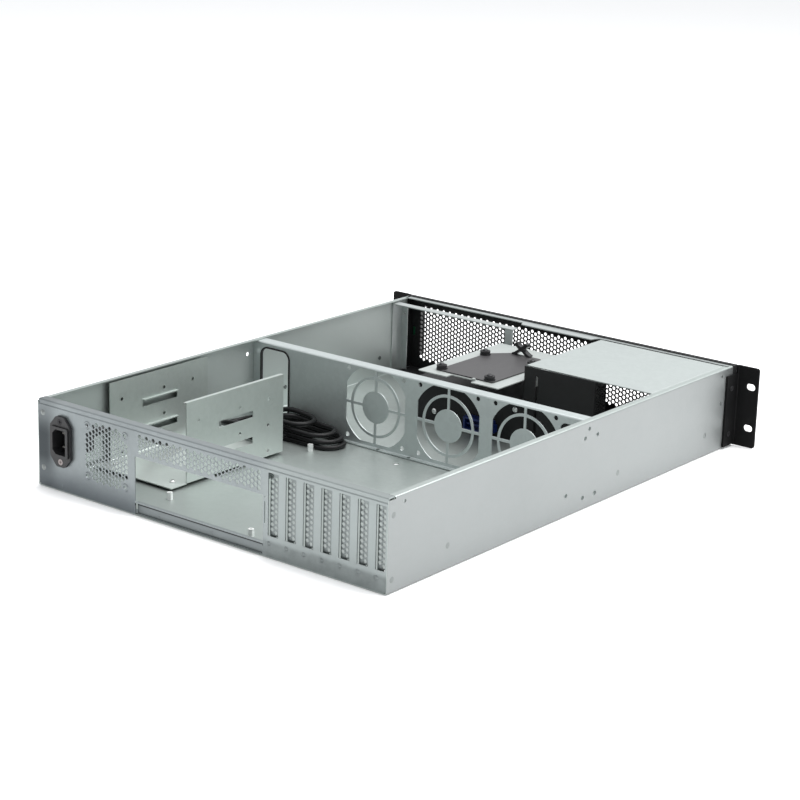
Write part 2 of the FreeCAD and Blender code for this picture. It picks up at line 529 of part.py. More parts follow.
# ---------------------------------------------------------------- 3.5 inch drive bracket
BX0, BX1 = 104.0, 209.0
BZ = 4.4
BY0, BY1 = -88.8, -228.8
br = prism(strip([(BX0, 85.2), (BX0, BZ - T), (BX1, BZ - T), (BX1, 84.0)], T, +1), xz(BY0), (0, BY1 - BY0, 0))
base2 = box(BX0 + 0.0, BX1, BY0 + 0.01, -67.3, BZ - T, BZ)
base3 = box(BX0 + 2.2, BX1 - 2.2, BY0 - 2, BY0 + 1.0, BZ - T, BZ)
hem = box(BX0 + 0.4, BX0 + 4.2, BY0, BY1, 85.2 - T, 85.2)
br = fuse([br, base2, base3, hem])
btools = []
HY = (-105.1, -164.9, -206.6)
for z in (64.3, 37.0, 9.8):
    for y in HY:
        btools.append(cyl((BX0 - 1, y, z), (1, 0, 0), 1.8, 3)); btools.append(cyl((BX1 + 1, y, z), (-1, 0, 0), 1.8, 3))
btools.append(cyl((BX0 - 1, -189.3, 6.6), (1, 0, 0), 1.3, 3))
SLY = (-134.2, -183.8)
badd = []
for zt, zb in ((56.9, 50.0), (29.7, 22.8)):
    btools.append(box(BX0 - 1, BX0 + T + 0.5, SLY[0], SLY[1], zb, zt)); btools.append(box(BX1 + 1, BX1 - T - 0.5, SLY[0], SLY[1], zb, zt))
    badd.append(box(BX0 + 0.2, BX0 + 3.6, SLY[0], SLY[1], zt, zt + T)); badd.append(box(BX1 - 0.2, BX1 - 3.6, SLY[0], SLY[1], zt, zt + T))
for x, y in BR_SCREWS:
    btools.append(cyl((x, y, 0), (0, 0, 1), 1.7, 6))
br = cut(br, btools)
# pressed feet that lift the base off the floor
for x, y in BR_SCREWS:
    badd.append(cone((x, y, T), (0, 0, 1), 4.5, 6.5, BZ - 2 * T + 0.2).cut(cyl((x, y, 0), (0, 0, 1), 1.7, 6)))
br = fuse([br] + badd)
put("drive_bracket", br)
put("bracket_screws", pan_screw((BR_SCREWS[0][0], BR_SCREWS[0][1], BZ), (0, 0, 1), 1.5, 3.0, 1.5, 3.4),
    [pan_screw((x, y, BZ), (0, 0, 1), 1.5, 3.0, 1.5, 3.4) for x, y in BR_SCREWS[1:]])

# ---------------------------------------------------------------- board standoffs
so = []
for x, y in STANDOFFS:
    h = prism(rounded([(x + 3.0 * math.cos(math.radians(30 + 60 * k)), y + 3.0 * math.sin(math.radians(30 + 60 * k))) for k in range(6)], 0), xy(T), (0, 0, 7.0))
    h = h.cut(cyl((x, y, T + 2.5), (0, 0, 1), 1.3, 6))
    h = h.fuse(cyl((x, y, T), (0, 0, -1), 1.5, 0.95)).removeSplitter()
    so.append(h)
put("board_standoffs", so[0], so[1:])

# ---------------------------------------------------------------- front: panel, rail and ears
PF0, PF1 = -578.0, -579.5
mesh = hexes(lambda x, z: abs(x) < 202.6 and 11.6 < z < 76.6, 0.0, 44.0, MESH_P, MESH_R, 60, 8)
mp = xz(PF0)
inner = [hexa(c, MESH_R, mp) for c in mesh]
inner.append(wire_on(rect(207.5, 212.0, 40.0, 50.0, 1.0), mp))
print("mesh holes", len(mesh), "vent", len(vent), "strip", len(upper))
DXM = MESH_P * math.sqrt(3) / 2
fp = sheet_bands(-HB, HB, 0.6, BODY_H, PF0, inner, [(k + 0.5) * DXM for k in range(-41, 42, 6)], PF0 - PF1)
adds = [box(-HB + 0.0, HB, PF0 + 3.5, PF0 - 0.5, BODY_H - 1.2, BODY_H)]
for sx in (-1, 1):
    adds.append(box(sx * HB, sx * (HB - 1.5), FRONT_IN - 0.4, PF0 - 0.5, 2.1, BODY_H))
fp = fuse(fp + adds, False)
put("front_panel", fp)
# floor strip behind the mesh at its +X end
put("front_foot", box(94.5, 211.8, -538.0, PF0, T, 2.2))
RZ = BODY_H - 1.25
rail = prism(rounded([(212.5, -577.9), (212.5, -567.5), (50.0, -567.5), (46.5, -560.0), (-45.5, -560.0), (-49.5, -569.5), (-212.5, -569.5), (-212.5, -577.9)],
                     [0, 0, 1, 1.5, 1.5, 1, 0, 0]), xy(RZ - T), (0, 0, T))
put("front_rail", rail)


def ear(sx):
    xo = EAR_SPAN / 2.0
    pts = [(HB + 0.0, -557.0), (HB + 0.0, -580.5), (xo, -580.5)]
    # section in plan: side leg on the wall, then the plate outwards
    s = strip([(HB, -557.0), (HB, -580.5), (xo, -580.5)], 2.2, -1 if False else +1, 1.0)
    e = prism(s, xy(0.6), (0, 0, BODY_H - 0.6))
    t = [box(HB - 1, HB + 2.2 + 0.0, -556.0, -577.9, 78.3, 90), box(HB - 1, HB + 2.2, -556.0, -577.9, -1, 2.2)]
    # leave the front panel's corner to the panel
    for s2 in (-1, 1):
        z = BODY_H / 2 + s2 * EAR_PITCH_Z / 2
        t.append(prism(rounded([(EAR_HOLE_X - 5.2, z - 3.6), (EAR_HOLE_X + 5.2, z - 3.6), (EAR_HOLE_X + 5.2, z + 3.6), (EAR_HOLE_X - 5.2, z + 3.6)], 3.6), xz(-570), (0, -20, 0)))
    for y, z in ear_screw_yz:
        t.append(cyl((HB - 2, y, z), (1, 0, 0), 1.75, 8)); t.append(cone((HB + 2.21, y, z), (-1, 0, 0), 3.2, 1.75, 1.5))
    # rounded outer corners
    for z0, z1 in ((BODY_H - 3, BODY_H + 1), (-1, 3.6)):
        up = z0 > 10
        c = box(xo - 3, xo + 1, -570, -590, z0, z1)
        zc = BODY_H - 3 if up else 3.6
        c = c.cut(cyl((xo - 3, -560, zc), (0, -1, 0), 3.0, 40))
        t.append(c)
    e = cut(e, t)
    return e if sx > 0 else mirror_x(e)


put("ear_right", ear(1)); put("ear_left", ear(-1))
es = []
for sx in (-1, 1):
    for y, z in ear_screw_yz:
        es.append(csk((sx * (HB + 2.15), y, z), (sx, 0, 0), 1.5, 2.95, 1.4, 5.0))
put("ear_screws", es[0], es[1:])

# ---------------------------------------------------------------- power supply bay, front -X corner
CX0, CX1 = -206.4, -53.5
CY0, CY1 = -427.0, -565.0
CZ = 86.0
cov = prism(strip([(CX1, CZ - 10.0), (CX1, CZ), (CX0, CZ), (CX0, CZ - 10.0)], T, +1), xz(CY0), (0, CY1 - CY0, 0))
put("bay_cover", cov)
bb0, bb1 = -140.0, -53.5
bk = sheet(wire_on(rect(bb0, bb1, T, 85.0), xz(-425.0)), [wire_on(rect(-70.6, -67.4, 16.0, 77.0, 1.5), xz(-425.0))], (0, -1.2, 0))
fh = [hexa(c, 1.0, yz(bb0)) for c in hexes(lambda y, z: -444.5 < y < -429.5 and 8 < z < 80, -437.0, 44.0, 4.0, 1.0, 6, 12)]
sf = sheet(wire_on(rect(-447.0, -425.6, T, 84.6), yz(bb0)), fh, (1.2, 0, 0))
bfoot = box(bb0, bb1 - 3, -425.4, -416.0, T, 2 * T)
bk = fuse([bk, sf, bfoot])
put("bay_back", bk)

# black low cage beside it, under the small drive tray
GX0, GX1 = -52.9, 92.5
GZ = 44.0
cage = prism(strip([(GX0 + 9.0, T), (GX0, T), (GX0, GZ), (GX1, GZ), (GX1, T), (GX1 - 9.0, T)], T, -1), xz(-427.0), (0, -135.0, 0))
put("drive_cage", cage)
bp = sheet(wire_on(rect(GX0, GX1, T, GZ, 0.5), xz(-425.0)), [circle_wire((60.7, 12.5), 1.7, xz(-425.0), (0, 1, 0)), circle_wire((-44.0, 36.0), 1.7, xz(-425.0), (0, 1, 0)),
        circle_wire((84.0, 36.0), 1.7, xz(-425.0), (0, 1, 0))], (0, -1.6, 0))
put("cage_back", bp)
put("cage_screws", pan_screw((60.7, -425.0, 12.5), (0, 1, 0), 1.5, 3.0, 1.7, 1.5),
    [pan_screw((-44.0, -425.0, 36.0), (0, 1, 0), 1.5, 3.0, 1.7, 1.5), pan_screw((84.0, -425.0, 36.0), (0, 1, 0), 1.5, 3.0, 1.7, 1.5)])
# blue data connector block on the cage's back
DCX = -2.6
con = box(DCX - 17.0, DCX + 17.0, -425.0, -414.0, 5.0, 19.0)
con = con.cut(box(DCX - 14.8, DCX + 14.8, -413.0, -422.0, 6.8, 17.2)).fuse(box(DCX - 13.0, DCX + 13.0, -424.0, -415.5, 11.4, 12.6))
con = fuse([con, box(DCX - 19.5, DCX - 16.9, -425.0, -421.5, 7.0, 15.0), box(DCX + 16.9, DCX + 19.5, -425.0, -421.5, 7.0, 15.0)])
put("data_connector", con)

# ---------------------------------------------------------------- small drive tray and its fittings
TZ = 70.0
TX0, TX1 = -53.3, 50.0
to = rounded([(TX0, -379.5), (-18.5, -379.5), (-18.5, -388.8), (12.6, -388.8), (12.6, -379.5), (TX1, -379.5), (TX1, -527.0), (TX0, -527.0)], [1, 1, 1, 1, 1, 2, 2, 1])
PCX, PCY = 0.8, -434.9                # middle of the 2.5 inch hole pattern
KN = [(PCX + 30.86, PCY + 38.3), (PCX + 30.86, PCY - 38.3), (PCX - 30.86, PCY + 38.3), (PCX - 30.86, PCY - 38.3)]
CLIP = (0.5, -497.5)
tl = sheet(wire_on(to, xy(TZ)), [circle_wire(c, 4.1, xy(TZ), (0, 0, 1)) for c in KN] +
           [circle_wire((CLIP[0] - 9.4, CLIP[1]), 1.6, xy(TZ), (0, 0, 1)), circle_wire((CLIP[0] + 9.4, CLIP[1]), 1.6, xy(TZ), (0, 0, 1))], (0, 0, -T))
hang = box(TX0, TX0 + T, -428.0, -526.0, TZ - 0.5, 58.0)
lip = box(2.0, TX1 - 3, -526.0, -527.0, TZ - 0.5, 64.0)
tabup = box(-19.0, -16.2, -386.6, -387.6, TZ - 0.5, TZ + 2.6).fuse(box(-19.0, -16.2, -387.6, -384.2, TZ + 1.6, TZ + 2.6))
tl = fuse([tl, hang, lip, tabup])
put("drive_tray", tl)
PX = (-38.0, 33.0); PY = (-391.0, -499.0)
po = rounded([(PX[0], PY[0]), (PX[1], PY[0]), (PX[1], -478.0), (14.0, PY[1]), (-22.0, PY[1]), (PX[0], -486.0)], [2, 3, 2, 2, 2, 2])
pad = sheet(wire_on(po, xy(TZ)), [], (0, 0, 1.4))
pad = cut(pad, [cyl((c[0], c[1], TZ - 1), (0, 0, 1), 6.2, 4) for c in KN] + [cyl((CLIP[0] + s * 9.4, CLIP[1], TZ - 1), (0, 0, 1), 1.9, 4) for s in (-1, 1)])
put("drive_plate", pad)
gr, ks = [], []
for x, y in KN:
    up = cyl((x, y, TZ), (0, 0, 1), 5.6, 2.4).fuse(cyl((x, y, TZ + 2.4), (0, 0, 1), 4.7, 1.2)).fuse(cyl((x, y, TZ + 3.6), (0, 0, 1), 5.5, 2.0))
    up = up.fuse(cyl((x, y, TZ - T), (0, 0, 1), 4.0, T)).fuse(cyl((x, y, TZ - T - 1.8), (0, 0, 1), 5.4, 1.8))
    up = up.cut(cyl((x, y, TZ - 6), (0, 0, 1), 1.9, 14)).removeSplitter()
    gr.append(up)
    s = cyl((x, y, TZ + 5.6), (0, 0, 1), 3.2, 0.9).fuse(cone((x, y, TZ + 6.5), (0, 0, 1), 3.0, 2.2, 0.9)).fuse(cyl((x, y, TZ - 4.0), (0, 0, 1), 1.7, 9.8)).removeSplitter()
    s = s.cut(box(x - 1.8, x + 1.8, y - 0.35, y + 0.35, TZ + 6.6, TZ + 8)).cut(box(x - 0.35, x + 0.35, y - 1.8, y + 1.8, TZ + 6.6, TZ + 8))
    ks.append(s)
put("tray_grommets", gr[0], gr[1:])
put("tray_screws", ks[0], ks[1:])
# wire saddle: two feet, a narrow waist and two open wings
cx, cy = CLIP
sad = prism(rounded([(cx - 11.5, TZ + 1.45), (cx - 7.0, TZ + 1.45), (cx - 1.6, TZ + 6.0), (cx + 1.6, TZ + 6.0), (cx + 7.0, TZ + 1.45), (cx + 11.5, TZ + 1.45), (cx + 11.5, TZ + 3.2), (cx + 8.8, TZ + 4.2),
                     (cx + 2.9, TZ + 8.2), (cx + 4.4, TZ + 9.4), (cx + 8.4, TZ + 12.6), (cx + 8.0, TZ + 14.8), (cx + 4.6, TZ + 15.8), (cx + 3.4, TZ + 13.0), (cx, TZ + 11.0), (cx - 3.4, TZ + 13.0), (cx - 4.6, TZ + 15.8), (cx - 8.0, TZ + 14.8),
                     (cx - 8.4, TZ + 12.6), (cx - 4.4, TZ + 9.4), (cx - 2.9, TZ + 8.2), (cx - 8.8, TZ + 4.2), (cx - 11.5, TZ + 3.2)], 0.5), xz(cy + 3.2), (0, -6.4, 0))
for s in (-1, 1):
    sad = sad.fuse(cyl((cx + 9.4 * s, cy, TZ - 1.6), (0, 0, 1), 1.3, 4.0))
put("wire_saddle", sad.removeSplitter())

# rail over the front +X bay with the upright on the wall and the leg down to the tray
rz = 85.0
br_top = prism(rounded([(213.0, -545.5), (205.5, -536.0), (41.0, -536.0), (41.0, -546.5), (213.0, -546.5)], [0, 1, 0.5, 0.5, 0]), xy(rz - T), (0, 0, T))
leg = box(41.0, 51.5, -536.0, -537.0, TZ - 9.5, rz - 0.4)
up1 = box(HB - T - 0.1, HB - 2 * T - 0.1, -541.5, -560.0, 3.0, rz)
up2 = box(HB - T - 0.1, 205.0, -559.0, -560.0, 3.0, 79.0)
frame = fuse([br_top, leg, up1, up2])
frame = cut(frame, [cyl((209.0, -550, 69.0), (0, -1, 0), 1.5, 20)])
put("bay_rail", frame)

# ---------------------------------------------------------------- control pod on the front, +X side
QX0, QX1, QZ0, QZ1 = 203.6, 226.4, 15.0, 80.0
QY0, QY1 = -580.5, -591.5
pod = prism(rect(QX0, QX1, QZ0, QZ1, 3.0), xz(QY0), (0, QY1 - QY0, 0))
pod_in = prism(rect(QX0 + 1.8, QX1 - 1.8, QZ0 + 1.8, QZ1 - 1.8, 1.5), xz(QY0 + 1), (0, -9.8 + 0.6, 0))
pod = pod.cut(pod_in)
try:
    ed = [e for e in pod.Edges if abs(e.BoundBox.YMin - Y(QY1)) < 1e-4 and abs(e.BoundBox.YMax - Y(QY1)) < 1e-4]
    pod = pod.makeFillet(0.9, ed)
except Exception as ex:
    print("pod fillet", ex)
qx = (QX0 + QX1) / 2
PWR = (qx, 66.5); RST = (qx, 50.5); LEDS = [(qx - 4.5, 57.0), (qx + 4.5, 57.0)]
USB = [(qx, 38.5), (qx, 24.5)]
ptools = [cyl((PWR[0], QY1 - 1, PWR[1]), (0, 1, 0), 6.3, 6), cyl((RST[0], QY1 - 1, RST[1]), (0, 1, 0), 2.6, 6)]
ptools += [cyl((x, QY1 - 1, z), (0, 1, 0), 1.55, 6) for x, z in LEDS]
ptools += [box(x - 6.9, x + 6.9, QY1 - 1, QY1 + 5, z - 3.3, z + 3.3) for x, z in USB]
pod = cut(pod, ptools)
# filler between the front panel and the pod, 1 mm deep, so that the pod sits on the panel
seat = prism(rect(QX0 + 0.0, HB - 0.2, QZ0, QZ1, 0.2), xz(-579.5), (0, -1.0, 0)).cut(box(QX0 + 1.8, HB - 2.0, -579, -581, QZ0 + 1.8, QZ1 - 1.8))
pod = fuse([pod, seat])
put("control_pod", pod)


def button(c, r, collar):
    x, z = c
    b = cyl((x, QY1 - BTN_PROUD, z), (0, 1, 0), r, 4.6)
    b = b.fuse(cyl((x, QY1 + 2.95, z), (0, 1, 0), collar, 1.2))
    b = b.fuse(cyl((x, QY1 + 3.0, z), (0, 1, 0), 1.4, 2.1))
    b = b.cut(Part.makeCylinder(r - 0.6, 0.35, V(x, Y(QY1 - BTN_PROUD), z), V(0, 1, 0)))
    return b.removeSplitter()


put("power_button", button(PWR, 6.0, 7.2))
put("reset_button", button(RST, 2.3, 3.3))
# circuit board of the pod with its two switches and the sockets
by = QY1 + 8.6
bd = prism(rect(QX0 + 2.2, QX1 - 2.2, QZ0 + 2.2, QZ1 - 2.2, 1.0), xz(by), (0, 1.2, 0))
put("control_board", bd)
sw = []
for (x, z) in (PWR, RST):
    s = box(x - 3.0, x + 3.0, by, by - 1.6, z - 3.0, z + 3.0).fuse(cyl((x, by - 1.6, z), (0, -1, 0), 1.3, 0.7)).removeSplitter()
    sw.append(s)
put("switch_bodies", sw[0], sw[1:])
leds = []
for x, z in LEDS:
    l = cyl((x, QY1 - 0.2, z), (0, 1, 0), 1.45, by - QY1 + 0.2)
    leds.append(l)
put("status_lenses", leds[0], leds[1:])
us = []
for x, z in USB:
    u = box(x - 6.6, x + 6.6, QY1 + 0.3, by, z - 3.0, z + 3.0)
    u = u.cut(box(x - 6.1, x + 6.1, QY1 - 1, by - 1.0, z - 2.5, z + 2.5))
    u = u.fuse(box(x - 5.2, x + 5.2, QY1 + 1.2, by - 0.9, z + 0.1, z + 1.9))
    us.append(u.removeSplitter())
put("usb_sockets", us[0], us[1:])

# ---------------------------------------------------------------- rivets
rv = []
for y, z in rivet_yz:
    for sx in (-1, 1):
        rv.append(rivet((sx * HB, y, z), (sx, 0, 0), 2.9, 0.5, 1.5, 2.15 if y > -20 else 1.05))
for x, z in RR:
    rv.append(rivet((x, 0.0, z), (0, 1, 0), 2.9, 0.7, 1.5, 1.05))
for x, y in FW_RIVETS:
    D = (0, 0, 1)
    r = cyl((x, y, 0.05), D, 1.5, FT - 0.05).fuse(cyl((x, y, FT), D, 1.85, 0.6)).removeSplitter()
    rv.append(r)
put("rivets", rv[0], rv[1:])

# ---------------------------------------------------------------- internal mains lead
def tube(points, r):
    """Round lead: straight runs joined by tangent arcs as large as the runs allow."""
    P = [V(*p) for p in points]
    n = len(P)
    runs = [(P[i + 1] - P[i]).Length for i in range(n - 1)]
    edges, radii, cur = [], [], P[0]
    for i in range(1, n - 1):
        a = (P[i - 1] - P[i]); b = (P[i + 1] - P[i])
        a.normalize(); b.normalize()
        turn = math.pi - a.getAngle(b)
        R = 0.45 * min(runs[i - 1], runs[i]) / math.tan(turn / 2)
        d = R * math.tan(turn / 2)
        q0 = P[i] + a * d; q1 = P[i] + b * d
        m = a + b; m.normalize()
        ctr = P[i] + m * (R / math.cos(turn / 2))
        mid = ctr - m * R
        edges.append(Part.LineSegment(cur, q0).toShape())
        edges.append(Part.Arc(q0, mid, q1).toShape())
        radii.append((round(R, 1), round(math.degrees(turn), 1)))
        cur = q1
    edges.append(Part.LineSegment(cur, P[-1]).toShape())
    w = Part.Wire(edges)
    t0 = P[1] - P[0]
    prof = Part.Wire([Part.Circle(P[0], t0, r).toShape()])
    s = w.makePipeShell([prof], True, False)
    L = sum(e.Length for e in edges)
    print("lead arcs (radius, turn):", radii)
    print("lead runs:", [round(x, 1) for x in runs], "length %.1f" % L, "volume ratio %.4f" % (s.Volume / (math.pi * r * r * L)))
    return s, L


LEAD = [(181.3, -53.0, 50.5), (181.3, -67.0, 50.2), (182.2, -83.5, 46.2), (184.4, -101.0, 37.2), (187.4, -119.0, 25.8), (190.0, -137.5, 15.6), (191.2, -157.0, 9.6),
        (190.8, -177.0, 8.4), (188.6, -197.0, 8.4), (185.2, -216.5, 8.6), (180.0, -235.0, 8.4), (170.0, -250.0, 4.8), (154.0, -259.3, 3.8)]
lead, L = tube([(x, Y(y), z) for x, y, z in LEAD], CR)
# its free end, out of the hank and over itself to the coupler
TAIL = [(176.4, -289.6, 12.5), (193.6, -287.0, 6.2), (208.0, -273.7, 3.8), (208.0, -254.3, 5.4), (194.2, -240.5, 14.2), (178.0, -240.5, 15.0)]
tail, L2 = tube([(x, Y(y), z) for x, y, z in TAIL], CR)
put("lead_cable", lead, [tail])

# hank of the same lead on the floor: outer shape of its turns, two layers high at its -X end
HX0, HX1, HCY, HW = 69.0, 176.0, -281.65, 19.45
st = rounded([(HX0, HCY - HW), (HX1, HCY - HW), (HX1, HCY + HW), (HX0, HCY + HW)], HW - 0.01)
hank = prism(st, xy(T), (0, 0, 30.0))
topcut = prism([("L", (HX0 - 5, 14.5), (96.0, 16.8)), ("L", (96.0, 16.8), (124.0, 22.8)), ("L", (124.0, 22.8), (HX1 + 5, 22.8)), ("L", (HX1 + 5, 22.8), (HX1 + 5, 60.0)),
                ("L", (HX1 + 5, 60.0), (HX0 - 5, 60.0)), ("L", (HX0 - 5, 60.0), (HX0 - 5, 14.5))], xz(-330.0), (0, 80.0, 0))
hank = hank.cut(topcut)
put("lead_hank", hank)

# coupler on the lead's free end, lying on its side behind the bracket
ky, kz = -240.5, 15.0
kb = prism(rounded([(ky - 10.2, kz - 13.8), (ky + 5.0, kz - 13.8), (ky + 10.2, kz - 8.5), (ky + 10.2, kz + 8.5), (ky + 5.0, kz + 13.8), (ky - 10.2, kz + 13.8)], 1.6), yz(124.0), (24.0, 0, 0))
kn = prism(rounded([(ky - 8.6, kz - 10.5), (ky + 8.6, kz - 10.5), (ky + 8.6, kz + 10.5), (ky - 8.6, kz + 10.5)], 3.0), yz(147.5), (9.0, 0, 0))
ks_ = cone((156.0, ky, kz), (1, 0, 0), 5.8, 3.4, 22.0)
plug = fuse([kb, kn, ks_])
plug = cut(plug, [box(120.0, 141.0, ky - 5.6, ky - 3.4, kz - 9.5, kz - 4.5), box(120.0, 141.0, ky - 5.6, ky - 3.4, kz + 4.5, kz + 9.5),
                  box(120.0, 141.0, ky + 1.4, ky + 3.6, kz - 2.6, kz + 2.6)])
put("lead_coupler", plug)

allb = Part.makeCompound(list(PARTS.values())).BoundBox
print("nodes", len(PARTS), "box X %.2f %.2f Y %.2f %.2f Z %.2f %.2f" % (allb.XMin, allb.XMax, allb.YMin, allb.YMax, allb.ZMin, allb.ZMax), "YR", YR)
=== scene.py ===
import bpy, math
from mathutils import Vector, Matrix


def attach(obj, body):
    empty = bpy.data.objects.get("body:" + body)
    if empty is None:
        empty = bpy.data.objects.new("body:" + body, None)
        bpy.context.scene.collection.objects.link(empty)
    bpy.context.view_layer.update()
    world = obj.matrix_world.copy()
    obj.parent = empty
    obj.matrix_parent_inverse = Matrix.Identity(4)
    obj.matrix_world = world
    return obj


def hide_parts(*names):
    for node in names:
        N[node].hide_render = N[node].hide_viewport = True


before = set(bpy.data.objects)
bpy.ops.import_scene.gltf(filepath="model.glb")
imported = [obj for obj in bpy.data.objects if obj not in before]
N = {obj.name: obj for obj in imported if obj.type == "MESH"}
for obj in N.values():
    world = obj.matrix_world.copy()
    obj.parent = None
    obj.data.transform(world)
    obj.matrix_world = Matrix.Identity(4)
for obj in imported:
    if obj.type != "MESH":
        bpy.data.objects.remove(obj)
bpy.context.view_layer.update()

YR = 0.29375            # rear panel's outer face

# ------------------------------------------------------------------ camera
az, el, roll = math.radians(-52.0785), math.radians(-16.5512), math.radians(-1.6628)
fwd = Vector((math.cos(el) * math.cos(az), math.cos(el) * math.sin(az), math.sin(el)))
right = fwd.cross(Vector((0, 0, 1))).normalized()
dn = fwd.cross(right)
r2 = math.cos(roll) * right + math.sin(roll) * dn
d2 = -math.sin(roll) * right + math.cos(roll) * dn
cam_data = bpy.data.cameras.new("cam")
cam = bpy.data.objects.new("cam", cam_data)
bpy.context.scene.collection.objects.link(cam)
m = Matrix((( r2.x, -d2.x, -fwd.x, -1.27885), (r2.y, -d2.y, -fwd.y, 1.35494 + YR), (r2.z, -d2.z, -fwd.z, 0.68561), (0, 0, 0, 1)))
cam.matrix_world = m
cam_data.lens = 97.922
cam_data.sensor_width = 36.0
cam_data.sensor_fit = "HORIZONTAL"
cam_data.clip_start, cam_data.clip_end = 0.05, 50
bpy.context.scene.camera = cam

# ------------------------------------------------------------------ internal mains lead
# out of the boot, down into the bracket, a loose hank of differing turns on the floor, over it and back to the coupler
LEAD = [
    (0.1813, -0.0530, 0.0505), (0.1813, -0.0670, 0.0502), (0.1822, -0.0835, 0.0462), (0.1844, -0.1010, 0.0372),
    (0.1874, -0.1190, 0.0258), (0.1900, -0.1375, 0.0156), (0.1912, -0.1570, 0.0096), (0.1908, -0.1770, 0.0084),
    (0.1886, -0.1970, 0.0084), (0.1852, -0.2165, 0.0086), (0.1800, -0.2350, 0.0084), (0.1700, -0.2500, 0.0048),
    (0.1540, -0.2593, 0.0038), (0.1390, -0.2639, 0.0037), (0.1220, -0.2648, 0.0036), (0.1070, -0.2648, 0.0036),
    (0.0935, -0.2648, 0.0036), (0.08449, -0.2648, 0.0036), (0.07667, -0.26932, 0.0036), (0.07215, -0.27714, 0.0036),
    (0.07215, -0.28616, 0.0036), (0.07667, -0.29398, 0.0036), (0.08449, -0.2985, 0.0036), (0.0935, -0.2985, 0.0036),
    (0.1070, -0.2985, 0.0036), (0.1220, -0.2984, 0.0039), (0.1370, -0.2984, 0.0047), (0.1520, -0.2985, 0.0057),
    (0.16106, -0.2985, 0.0066), (0.16888, -0.29398, 0.0073), (0.1734, -0.28616, 0.0080), (0.1734, -0.27714, 0.0086),
    (0.16888, -0.26932, 0.0091), (0.16106, -0.2648, 0.0094), (0.1520, -0.2648, 0.0095), (0.1380, -0.2649, 0.0092),
    (0.1240, -0.2650, 0.0089), (0.1105, -0.2649, 0.0088), (0.0975, -0.2648, 0.0088), (0.08849, -0.2648, 0.0088),
    (0.08067, -0.26932, 0.0088), (0.07615, -0.27714, 0.0088), (0.07615, -0.28616, 0.0088), (0.08067, -0.29398, 0.0088),
    (0.08849, -0.2985, 0.0088), (0.0975, -0.2985, 0.0089), (0.1105, -0.2984, 0.0090), (0.1240, -0.2983, 0.0096),
    (0.1380, -0.2983, 0.0106), (0.1505, -0.2985, 0.0118), (0.15951, -0.2985, 0.0128), (0.16733, -0.29398, 0.0136),
    (0.17185, -0.28616, 0.0143), (0.17185, -0.27714, 0.0149), (0.16733, -0.26932, 0.0153), (0.15951, -0.2648, 0.0155),
    (0.1505, -0.2648, 0.0154), (0.1360, -0.2650, 0.0148), (0.1210, -0.2650, 0.0143), (0.1065, -0.2648, 0.0141),
    (0.09749, -0.2648, 0.0141), (0.08967, -0.26932, 0.0141), (0.08515, -0.27714, 0.0141), (0.08515, -0.28616, 0.0141),
    (0.08967, -0.29398, 0.0141), (0.09749, -0.2985, 0.0141), (0.1065, -0.2985, 0.0143), (0.1200, -0.2983, 0.0149),
    (0.1340, -0.2985, 0.0159), (0.1430, -0.2985, 0.0168), (0.1508, -0.29398, 0.0177), (0.1553, -0.28616, 0.0185),
    (0.1553, -0.27714, 0.0192), (0.1508, -0.26932, 0.0199), (0.1430, -0.2648, 0.0204), (0.1340, -0.2648, 0.0206),
    (0.1250, -0.2648, 0.0206), (0.1172, -0.26932, 0.0204), (0.1127, -0.27714, 0.0202), (0.1127, -0.28616, 0.0201),
    (0.1172, -0.29398, 0.0203), (0.1250, -0.2985, 0.0208), (0.1340, -0.2985, 0.0217), (0.1440, -0.2983, 0.0229),
    (0.1545, -0.2972, 0.0231), (0.1655, -0.2946, 0.0208), (0.1785, -0.2910, 0.0156), (0.1945, -0.2860, 0.0086),
    (0.2080, -0.2740, 0.0046), (0.2086, -0.2560, 0.0052), (0.2000, -0.2430, 0.0106), (0.1875, -0.2405, 0.0146),
    (0.1780, -0.2405, 0.0150)]
cd = bpy.data.curves.new("mains_lead", "CURVE")
cd.dimensions = "3D"
sp = cd.splines.new("NURBS")
sp.points.add(len(LEAD) - 1)
for p, q in zip(sp.points, LEAD):
    p.co = (q[0], q[1] + YR, q[2], 1.0)
    p.radius = 0.0026
sp.order_u = 3
sp.use_endpoint_u = True
sp.resolution_u = 6
cd.resolution_u = 6
cd.bevel_depth = 1.0
cd.bevel_resolution = 5
cd.use_fill_caps = True
lead = bpy.data.objects.new("mains_lead", cd)
bpy.context.scene.collection.objects.link(lead)
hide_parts("lead_cable", "lead_hank")
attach(lead, "case")

# ------------------------------------------------------------------ materials


